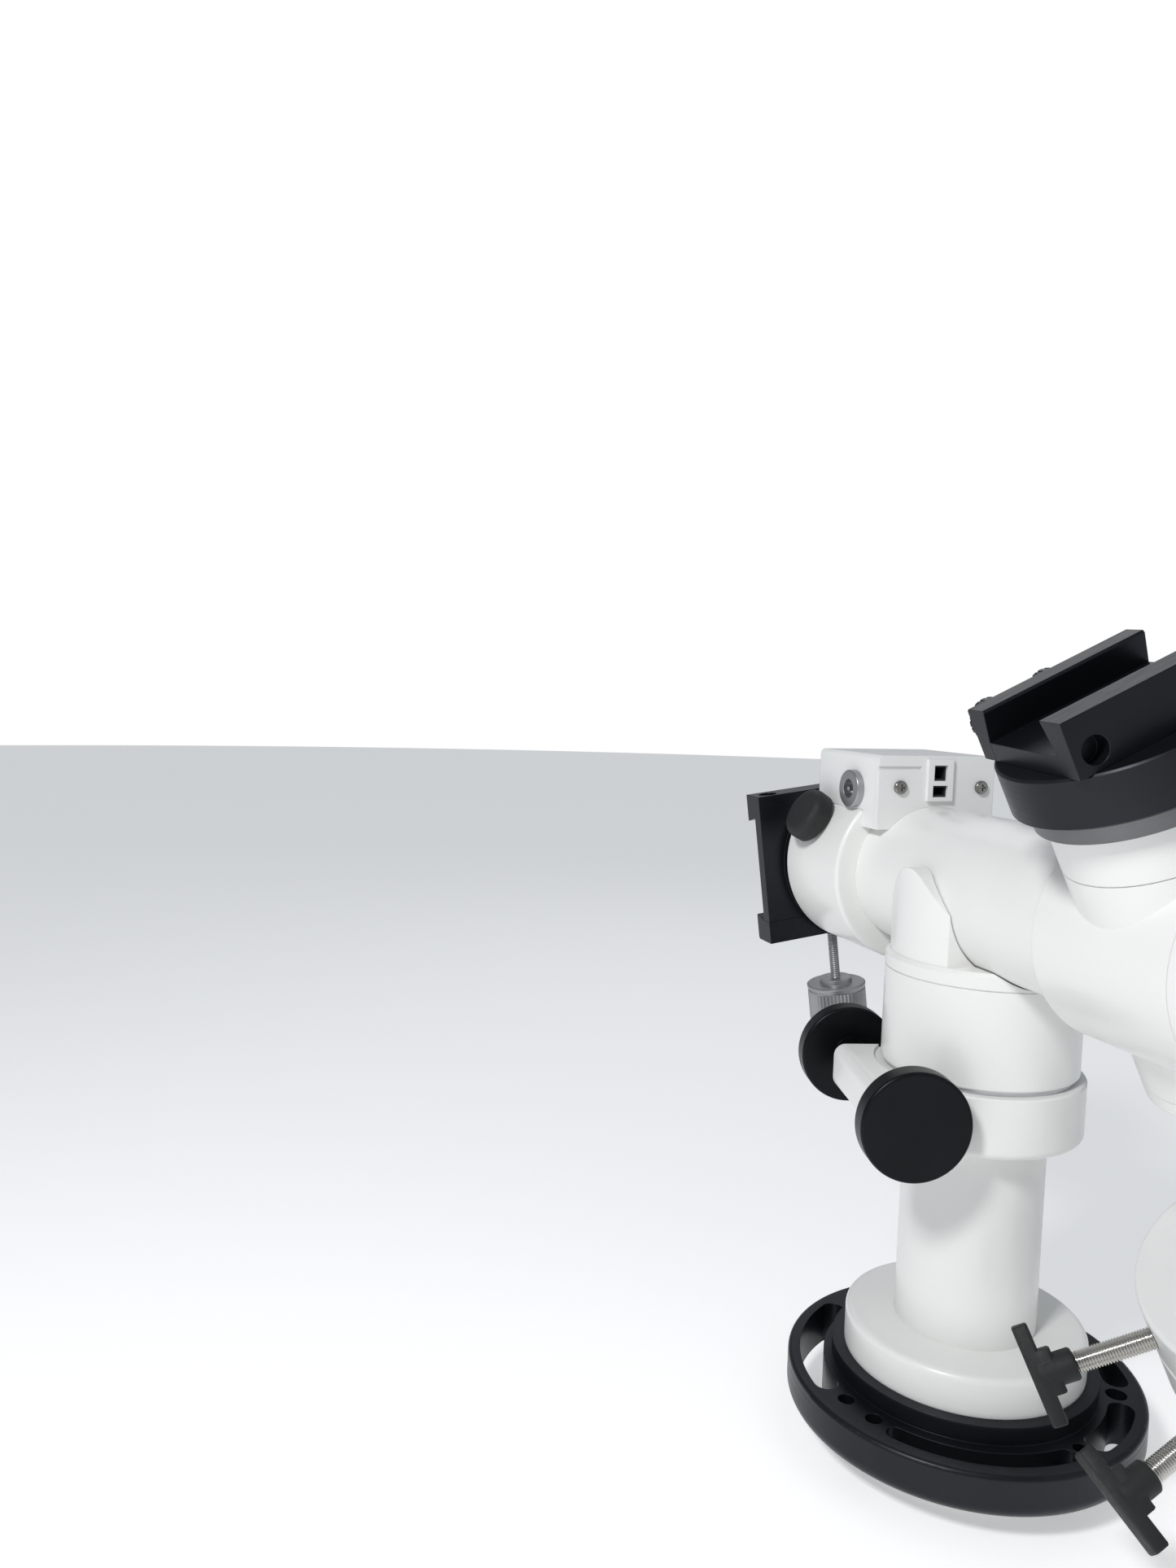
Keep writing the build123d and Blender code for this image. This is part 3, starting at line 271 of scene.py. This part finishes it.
def moulded(name, colour, grain=1500, depth=0.35, gloss_range=(0.42, 0.6)):
    """Injection moulded plastic with a spark-eroded grain."""
    skin = Surface(name, ior=1.46)
    rounded, edges = skin.edge(0.4 * MM)
    tint = skin.blend(skin.spread(skin.noise(35, 3), 0.0, 1.0), shade(colour, 0.85), shade(colour, 1.1))
    # Painted highlight: the colour is lighter along sharp edges.
    tint = skin.blend(skin.arithmetic("MULTIPLY", edges, 0.35), tint, shade(colour, 1.9))
    gloss = skin.spread(skin.noise(300, 3), *gloss_range)
    heights = [(skin.cells(grain), depth, 0.08 * MM), (skin.noise(3 * grain, 2), 0.4 * depth, 0.03 * MM)]
    return skin.finish(tint, gloss, heights, rounded)


def smooth_plastic(name, colour):
    skin = Surface(name, coat=0.15, coat_roughness=0.2, ior=1.48)
    rounded, edges = skin.edge(0.5 * MM)
    tint = skin.blend(skin.spread(skin.noise(22, 3), 0.0, 1.0), shade(colour, 0.96), shade(colour, 1.0))
    # Painted shade: the colour is darker along sharp edges and in creases.
    tint = skin.blend(skin.arithmetic("MULTIPLY", edges, 0.2), tint, shade(colour, 0.85))
    gloss = skin.spread(skin.noise(110, 3), 0.34, 0.46)
    return skin.finish(tint, gloss, [(skin.noise(1900, 2), 0.08, 0.05 * MM)], rounded)


def belt_rubber(name, colour):
    skin = Surface(name)
    tint = skin.blend(skin.noise(60, 3), shade(colour, 0.8), shade(colour, 1.4))
    gloss = skin.spread(skin.noise(400, 3), 0.6, 0.8)
    return skin.finish(tint, gloss, [(skin.noise(1500, 2), 0.3, 0.05 * MM)])


def around(origin, axis):
    return lambda skin: skin.turned(origin, axis)


def plain(skin):
    return skin.place


def along_saddle(skin):
    return skin.brushed(SADDLE_ALONG)


def along_rear_saddle(skin):
    return skin.brushed(REAR_ALONG)


AROUND_PILLAR = around(Vector((0, 0, 0)), UP)
AROUND_POLAR = around(POLAR_CENTRE, POLAR_AXIS)
AROUND_DEC = around(DEC_CENTRE, DEC_AXIS)


# How dark some parts are beside their slot's colour. The knobs' extra darkness beside the other black parts is
# painted shade.
BLACK_TONE = 0.6
KNOB_PAINTED_SHADE = 0.4
PLASTIC_TONE = 0.3
RING_TONE = 0.4
CLAMP_TONE = 0.8
SCREW_TONE = 0.5


def toned(slot, factor):
    """A slot's colour made darker, without its alpha."""
    return shade(COLOURS[slot], factor)[:3]


def slot_materials():
    """One material for each slot of the record."""
    colour = COLOURS
    plastic = toned("black_plastic", PLASTIC_TONE)
    return {
        "white_paint": powder_coat("white_paint", colour["white_paint"]),
        "cast_weight": powder_coat("cast_weight", colour["cast_weight"], peel=0.16),
        "black_anodised": anodised("black_anodised", colour["black_anodised"], plain),
        "grey_anodised": anodised("grey_anodised", colour["grey_anodised"], AROUND_DEC, 0.15, 0.9),
        "clear_aluminium": bare_metal("clear_aluminium", colour["clear_aluminium"], plain),
        "stainless": bare_metal("stainless", colour["stainless"], AROUND_DEC),
        "dark_steel": bare_metal("dark_steel", colour["dark_steel"], AROUND_POLAR, (0.3, 0.45)),
        "bearing_steel": bare_metal("bearing_steel", colour["bearing_steel"], AROUND_POLAR, (0.1, 0.2)),
        "bronze": bare_metal("bronze", colour["bronze"], AROUND_POLAR, (0.22, 0.36)),
        "black_plastic": moulded("black_plastic", plastic, gloss_range=(0.55, 0.7)),
        "white_plastic": smooth_plastic("white_plastic", colour["white_plastic"]),
        "belt_rubber": belt_rubber("belt_rubber", colour["belt_rubber"]),
    }


def node_materials():
    """Nodes whose tool marks follow their own axis, or whose tone is their own; the knobs' darker tone is painted
    shade.
    """
    black = toned("black_anodised", BLACK_TONE)
    # Painted shade: the knobs are made darker than the other black parts.
    shaded_knob_black = shade(black, KNOB_PAINTED_SHADE)[:3]
    ring_grey = toned("grey_anodised", RING_TONE)
    clamp_grey = toned("grey_anodised", CLAMP_TONE)
    screw_steel = toned("stainless", SCREW_TONE)
    knob_front = around(*joint_line("azimuth_knob_front_turn"))
    rear_knob = around(*joint_line("rear_knob_turn"))
    return {
        "azimuth_bearings": bare_metal("washer_steel", COLOURS["bearing_steel"], AROUND_PILLAR, (0.3, 0.45)),
        "pier_plate": anodised("plate_black", black, AROUND_PILLAR, 0.35),
        "saddle_disc": anodised("disc_black", black, AROUND_DEC, 0.35),
        "saddle_base": anodised("saddle_black", black, along_saddle),
        "saddle_jaw": anodised("jaw_black", black, along_saddle),
        "rear_saddle_base": anodised("rear_saddle_black", black, along_rear_saddle),
        "rear_saddle_jaw": anodised("rear_jaw_black", black, along_rear_saddle),
        "azimuth_knob_front": anodised("shaded_knob_black", shaded_knob_black, knob_front, 0.2),
        "azimuth_knob_rear": anodised("rear_knob_black", shaded_knob_black, knob_front, 0.2),
        "setting_ring": anodised("ring_grey", ring_grey, AROUND_DEC, 0.15, 0.8),
        "panel_screws": bare_metal("screw_steel", screw_steel, plain, (0.25, 0.4)),
        "rear_saddle_knob": anodised("knob_grey", clamp_grey, rear_knob, 0.15, 0.7),
    }


def dress_nodes(by_slot, by_node):
    for name, node in frame["nodes"].items():
        material = by_node.get(name, by_slot[SLOTS[name]])
        node.data.materials.clear()
        node.data.materials.append(material)


# ---------------------------------------------------------------- mesh helpers
def add_piece(name, mesh, material, body, slot, *nodes):
    """Makes an object of a finished bmesh, and ties it to its body."""
    data = bpy.data.meshes.new(name)
    bmesh.ops.recalc_face_normals(mesh, faces=mesh.faces)
    mesh.to_mesh(data)
    mesh.free()
    piece = bpy.data.objects.new(name, data)
    bpy.context.scene.collection.objects.link(piece)
    data.materials.append(material)
    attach(piece, body)
    if nodes:
        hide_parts(*nodes)
    return piece


def smooth(piece, angle=35):
    """Smooth shading that keeps edges sharper than the angle."""
    data = piece.data
    data.polygons.foreach_set("use_smooth", [True] * len(data.polygons))
    sharp = bmesh.new()
    sharp.from_mesh(data)
    for edge in sharp.edges:
        edge.smooth = edge.is_boundary or edge.calc_face_angle(0.0) < radians(angle)
    sharp.to_mesh(data)
    sharp.free()


def skin_rings(mesh, rings, closed=True):
    """Joins rings of points into a tube and closes its two ends."""
    rows = [[mesh.verts.new(point) for point in ring] for ring in rings]
    count = len(rows[0])
    for low, high in zip(rows, rows[1:]):
        for i in range(count):
            j = (i + 1) % count
            mesh.faces.new((low[i], low[j], high[j], high[i]))
    if closed:
        mesh.faces.new(rows[0][::-1])
        mesh.faces.new(rows[-1])


def circle(matrix, radius, height, steps):
    return [matrix @ Vector((radius * cos(2 * pi * i / steps), radius * sin(2 * pi * i / steps), height))
            for i in range(steps)]


def thread_rings(matrix, start, end, radius, pitch, depth, steps=40, per_turn=8):
    """Rings of a V thread whose ends taper to the root radius."""
    count = int((end - start) / pitch * per_turn)
    rings = []
    for row in range(count + 1):
        height = start + (end - start) * row / count
        lead = min(1.0, (height - start) / (0.8 * pitch), (end - height) / (0.8 * pitch))
        ring = []
        for i in range(steps):
            turn = i / steps
            phase = (height / pitch - turn) % 1.0
            crest = 1 - abs(2 * phase - 1)
            cut = depth * (1 - min(1.0, 1.35 * crest)) + depth * (1 - lead)
            reach = radius - min(depth, cut)
            ring.append(matrix @ Vector((reach * cos(2 * pi * turn), reach * sin(2 * pi * turn), height)))
        rings.append(ring)
    return rings


# ---------------------------------------------------------------- threaded rods
T_BOLT_PITCH = 1.25 * MM
AZIMUTH_PITCH = 1.5 * MM
ROD_THREAD_DEPTH = 0.55      # share of the pitch


def threaded_rod(node, hinge, pitch, material):
    """A real thread in place of a plain CAD rod."""
    origin, axis = joint_line(hinge)
    low, high, radius = extent(node, origin, axis)
    mesh = bmesh.new()
    matrix = placed(origin, axis, UP)
    skin_rings(mesh, thread_rings(matrix, low, high, radius, pitch, ROD_THREAD_DEPTH * pitch))
    piece = add_piece(f"thread_{node}", mesh, material, BODY_OF[node], "stainless", node)
    smooth(piece, 70)


# ---------------------------------------------------------------- T handles
BAR_HALF = 20 * MM
BAR_WIDE = 5.5 * MM
BAR_THICK = 3.5 * MM        # half the thickness of the bar
SHOULDER_HALF = 9 * MM
SHOULDER_BACK = -8.5 * MM
HUB_R = 6.6 * MM
HUB_BACK = -16 * MM         # rod side of the hub, from the middle of the bar


def bar_section(matrix, x, half_width, back, front, steps=28):
    """Rounded rectangle across the bar at x, as a superellipse."""
    middle = (back + front) / 2
    half = (front - back) / 2
    ring = []
    for i in range(steps):
        angle = 2 * pi * i / steps
        y = half_width * abs(cos(angle)) ** 0.38 * (1 if cos(angle) >= 0 else -1)
        z = half * abs(sin(angle)) ** 0.38 * (1 if sin(angle) >= 0 else -1)
        ring.append(matrix @ Vector((x, y, middle + z)))
    return ring


def t_handle(number, material):
    """Moulded T handle: a plain square-ended bar, a block shoulder and a short round hub."""
    hinge = f"t_bolt_{number}_turn"
    node = f"t_handle_{number}"
    origin, axis = joint_line(hinge)
    points = [vertex.co - origin for vertex in frame["nodes"][node].data.vertices]
    far = max(points, key=lambda p: (p - axis * p.dot(axis)).length)
    high = extent(node, origin, axis)[1]
    longest = (far - axis * far.dot(axis)).normalized()
    near = [p for p in points if p.dot(axis) > high - 2 * BAR_THICK]
    bar = widest_direction(near, axis, longest)
    matrix = placed(origin + axis * (high - BAR_THICK), axis, bar)

    mesh = bmesh.new()
    rounding = ((1.0, 0.86), (0.985, 0.95), (0.95, 1.0))
    rings = []
    for x, size in tuple((-x, size) for x, size in rounding) + rounding[::-1]:
        half = size * BAR_THICK
        rings.append(bar_section(matrix, x * BAR_HALF, size * BAR_WIDE, -half, half))
    skin_rings(mesh, rings)
    block = []
    for x, size in ((-1.0, 0.92), (-0.95, 0.98), (0.95, 0.98), (1.0, 0.92)):
        block.append(bar_section(matrix, x * SHOULDER_HALF, size * BAR_WIDE, SHOULDER_BACK * size, 0))
    skin_rings(mesh, block)
    hub = []
    rounded_back = ((HUB_BACK, 0.86), (HUB_BACK + 0.6 * MM, 0.96), (HUB_BACK + 1.2 * MM, 1.0))
    for height, factor in rounded_back + ((0, 1.0),):
        hub.append(circle(matrix, HUB_R * factor, height, 48))
    skin_rings(mesh, hub)
    piece = add_piece(f"handle_{number}", mesh, material, BODY_OF[node], "black_plastic", node)
    smooth(piece, 42)


def widest_direction(points, axis, fallback):
    """Direction across the axis in which the points reach furthest."""
    side = axis.cross(fallback)
    best = fallback
    reach = 0.0
    for step in range(180):
        angle = pi * step / 180
        direction = fallback * cos(angle) + side * sin(angle)
        spread = max(p.dot(direction) for p in points) - min(p.dot(direction) for p in points)
        across = axis.cross(direction)
        width = max(p.dot(across) for p in points) - min(p.dot(across) for p in points)
        if spread - width > reach:
            reach = spread - width
            best = direction
    return best


# ---------------------------------------------------------------- ribbed clamp knob
REAR_SCREW_R = 2.8 * MM
REAR_SCREW_PITCH = 1.25 * MM
REAR_THREAD_DEPTH = 0.5 * MM
REAR_CAP = 22 * MM           # length of the cap along the screw
RIB_DEPTH = 0.9 * MM


def ribbed_knob(material):
    """Straight-knurled cap of the rear clamp, on its threaded screw."""
    node = "rear_saddle_knob"
    origin, axis = joint_line("rear_knob_turn")
    low, high, radius = extent(node, origin, axis)
    matrix = placed(origin, axis, POLAR_AXIS)
    steps = 288
    ribs = 48
    front = low + REAR_CAP
    flange = low + 0.87 * REAR_CAP
    profile = ((low, 0.90, 0), (low + 0.8 * MM, 0.97, 0.4), (low + 1.6 * MM, 0.985, 1),
               (flange - 1 * MM, 0.985, 1),
               (flange - 0.6 * MM, 0.94, 0), (flange, 0.94, 0), (flange + 0.3 * MM, 0.99, 0),
               (front - 0.5 * MM, 1.0, 0), (front, 0.96, 0), (front, 0.55, 0),
               (front + 3 * MM, 0.53, 0), (front + 3 * MM, 0.3, 0))
    mesh = bmesh.new()
    rings = []
    for height, factor, knurl in profile:
        ring = []
        for i in range(steps):
            angle = 2 * pi * i / steps
            reach = radius * factor - knurl * RIB_DEPTH * (0.5 + 0.5 * cos(ribs * angle))
            ring.append(matrix @ Vector((reach * cos(angle), reach * sin(angle), height)))
        rings.append(ring)
    skin_rings(mesh, rings)
    screw = thread_rings(matrix, front, high, REAR_SCREW_R, REAR_SCREW_PITCH, REAR_THREAD_DEPTH)
    skin_rings(mesh, screw)
    piece = add_piece("ribbed_knob", mesh, material, BODY_OF[node], "grey_anodised", node)
    smooth(piece, 28)


# ---------------------------------------------------------------- clutch knob
CLUTCH_CAP = 12 * MM
CLUTCH_SCREW_R = 4 * MM


def clutch_knob(material):
    """Smooth knob with a round shoulder, on its clutch screw."""
    node = "ra_clutch_knob"
    origin, axis = joint_line("ra_clutch_turn")
    low, high, radius = extent(node, origin, axis)
    under = high - CLUTCH_CAP
    matrix = placed(origin, axis, POLAR_AXIS)
    profile = ((low, CLUTCH_SCREW_R), (under, CLUTCH_SCREW_R), (under, 0.88 * radius),
               (under + 1 * MM, 0.95 * radius), (high - 5.5 * MM, 0.97 * radius),
               (high - 4 * MM, 0.955 * radius), (high - 2.5 * MM, 0.915 * radius),
               (high - 1.2 * MM, 0.845 * radius), (high - 0.4 * MM, 0.75 * radius),
               (high, 0.62 * radius), (high - 0.3 * MM, 0.45 * radius), (high - 0.5 * MM, 0.2 * radius))
    mesh = bmesh.new()
    skin_rings(mesh, [circle(matrix, reach, height, 72) for height, reach in profile])
    piece = add_piece("clutch_knob", mesh, material, BODY_OF[node], "black_plastic", node)
    smooth(piece, 40)


# ---------------------------------------------------------------- small marks
COLLAR_R = 50.02 * MM
MARK_HALF_WIDTH = 0.45 * MM


def index_marks(material):
    """Two small painted lines where the azimuth head meets the collar."""
    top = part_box("pillar")[1].z
    direction = Vector(JOINTS["azimuth_knob_front_turn"]["pos_m"]).to_2d()
    base = direction.to_3d().normalized()
    mesh = bmesh.new()
    for turn, height in ((34, 3.2 * MM), (38, 2.2 * MM)):
        spot = Matrix.Rotation(radians(turn), 3, "Z") @ base
        side = UP.cross(spot)
        low = top - 1.2 * MM - height
        half = MARK_HALF_WIDTH
        corners = [(-half, low), (half, low), (half, low + height), (-half, low + height)]
        inner = [mesh.verts.new(spot * (COLLAR_R - 0.3 * MM) + side * s + UP * z) for s, z in corners]
        outer = [mesh.verts.new(spot * (COLLAR_R + 0.06 * MM) + side * s + UP * z) for s, z in corners]
        mesh.faces.new(inner[::-1])
        mesh.faces.new(outer)
        for i in range(4):
            j = (i + 1) % 4
            mesh.faces.new((inner[i], inner[j], outer[j], outer[i]))
    add_piece("index_marks", mesh, material, "base", "white_plastic")


# ---------------------------------------------------------------- stage, light and camera
FLOOR_R = 6.0
PAD_R = 57 * MM
FLOOR_BELOW = 1 * MM         # floor under the lowest point of the mount


def stage(material):
    """A pale floor with a low round pad that the pier plate stands on."""
    floor_z = cad_box[0].z - FLOOR_BELOW
    mesh = bmesh.new()
    flat = Matrix.Identity(4)
    steps = 128
    rings = [circle(flat, FLOOR_R, floor_z, steps), circle(flat, PAD_R + 3 * MM, floor_z, steps),
             circle(flat, PAD_R + 0.6 * MM, floor_z + 0.9 * MM, steps),
             circle(flat, PAD_R, floor_z + 3 * MM, steps), circle(flat, PAD_R, -1.6 * MM, steps),
             circle(flat, PAD_R - 1 * MM, -0.4 * MM, steps), circle(flat, 1 * MM, -0.3 * MM, steps)]
    skin_rings(mesh, rings, closed=False)
    mesh.verts.ensure_lookup_table()
    mesh.faces.new(mesh.verts[-steps:])
    bmesh.ops.recalc_face_normals(mesh, faces=mesh.faces)
    data = bpy.data.meshes.new("floor")
    mesh.to_mesh(data)
    mesh.free()
    data.materials.append(material)
    floor = bpy.data.objects.new("floor", data)
    bpy.context.scene.collection.objects.link(floor)
    smooth(floor, 40)


FLOOR_GLOW = 0.36            # stands for the light that a white studio sends back


def floor_paint():
    skin = Surface("studio_floor")
    skin.shader.inputs["Emission Color"].default_value = (1, 1, 1, 1)
    skin.shader.inputs["Emission Strength"].default_value = FLOOR_GLOW
    tint = skin.blend(skin.noise(3, 3), (0.93, 0.93, 0.935, 1), (0.96, 0.96, 0.96, 1))
    return skin.finish(tint, 0.75, [(skin.noise(120, 3), 0.03, 0.2 * MM)])


def soft_light(name, place, target, size, power):
    lamp = bpy.data.lights.new(name, "AREA")
    lamp.shape = "SQUARE"
    lamp.size = size
    lamp.energy = power
    holder = bpy.data.objects.new(name, lamp)
    holder.location = place
    holder.rotation_euler = (Vector(target) - Vector(place)).to_track_quat("-Z", "Y").to_euler()
    bpy.context.scene.collection.objects.link(holder)


SKY_TINT = (0.86, 0.93, 1.0, 1)
SKY_LIGHT = 0.30


# Each light: name, shares of the view's right, top and forward, then reach, size and power.
LIGHTS = (("key", -0.62, 0.72, -0.75, 1.1, 0.20, 9.5),
          ("fill", 0.9, 0.25, -0.4, 1.3, 0.9, 0.8),
          ("rim", 0.1, 0.9, 0.9, 1.1, 0.8, 1.5))


def backdrop():
    """White world that lights more softly, and a little bluer, than it looks."""
    world = bpy.data.worlds.new("studio")
    bpy.context.scene.world = world
    world.use_nodes = True
    nodes = world.node_tree.nodes
    links = world.node_tree.links
    background = nodes["Background"]
    seen = nodes.new("ShaderNodeLightPath").outputs["Is Camera Ray"]
    colour = nodes.new("ShaderNodeMix")
    colour.data_type = "RGBA"
    links.new(seen, colour.inputs[0])
    colour.inputs["A"].default_value = SKY_TINT
    colour.inputs["B"].default_value = (1, 1, 1, 1)
    links.new(colour.outputs[2], background.inputs["Color"])
    strength = nodes.new("ShaderNodeMapRange")
    links.new(seen, strength.inputs["Value"])
    strength.inputs["To Min"].default_value = SKY_LIGHT
    strength.inputs["To Max"].default_value = 1.0
    links.new(strength.outputs["Result"], background.inputs["Strength"])


CAMERA_PLACE = Vector((485.65, -355.42, 357.37)) * MM
CAMERA_YAW = 1.2709         # turn of the view from +Y, towards -X, in radians
CAMERA_PITCH = -0.0838
CAMERA_ROLL = 0.0275
FOCAL_LENGTHS = 1450 / 1927  # focal length in image heights


def camera():
    run = cos(CAMERA_PITCH)
    forward = Vector((-sin(CAMERA_YAW) * run, cos(CAMERA_YAW) * run, sin(CAMERA_PITCH)))
    level = Vector((cos(CAMERA_YAW), sin(CAMERA_YAW), 0))
    upright = level.cross(forward)
    right = level * cos(CAMERA_ROLL) + upright * sin(CAMERA_ROLL)
    top = upright * cos(CAMERA_ROLL) - level * sin(CAMERA_ROLL)
    lens = bpy.data.cameras.new("camera")
    lens.sensor_width = 36
    lens.lens = 36 * FOCAL_LENGTHS
    lens.clip_start = 0.01
    lens.clip_end = 50
    eye = bpy.data.objects.new("camera", lens)
    eye.matrix_world = Matrix.Translation(CAMERA_PLACE) @ Matrix((right, top, -forward)).transposed().to_4x4()
    bpy.context.scene.collection.objects.link(eye)
    bpy.context.scene.camera = eye
    return right, top, forward


# ---------------------------------------------------------------- build everything
materials = slot_materials()
own_materials = node_materials()
dress_nodes(materials, own_materials)

thread_material = bare_metal("thread_steel", COLOURS["stainless"], plain, (0.16, 0.28), 0.1)
threaded_rod("t_bolt_1", "t_bolt_1_turn", T_BOLT_PITCH, thread_material)
threaded_rod("t_bolt_2", "t_bolt_2_turn", T_BOLT_PITCH, thread_material)
threaded_rod("azimuth_rod_front", "azimuth_knob_front_turn", AZIMUTH_PITCH, thread_material)
threaded_rod("azimuth_rod_rear", "azimuth_knob_rear_turn", AZIMUTH_PITCH, thread_material)
t_handle(1, materials["black_plastic"])
t_handle(2, materials["black_plastic"])
ribbed_knob(own_materials["rear_saddle_knob"])
clutch_knob(materials["black_plastic"])
index_marks(smooth_plastic("mark_white", (0.95, 0.95, 0.95)))

stage(floor_paint())
backdrop()
right, top, forward = camera()
centre = (cad_box[0] + cad_box[1]) / 2
for name, aside, up, away, reach, size, power in LIGHTS:
    place = centre + (aside * right + up * top + away * forward) * reach
    soft_light(name, place, centre, size, power)
bpy.context.scene.view_settings.view_transform = "Standard"
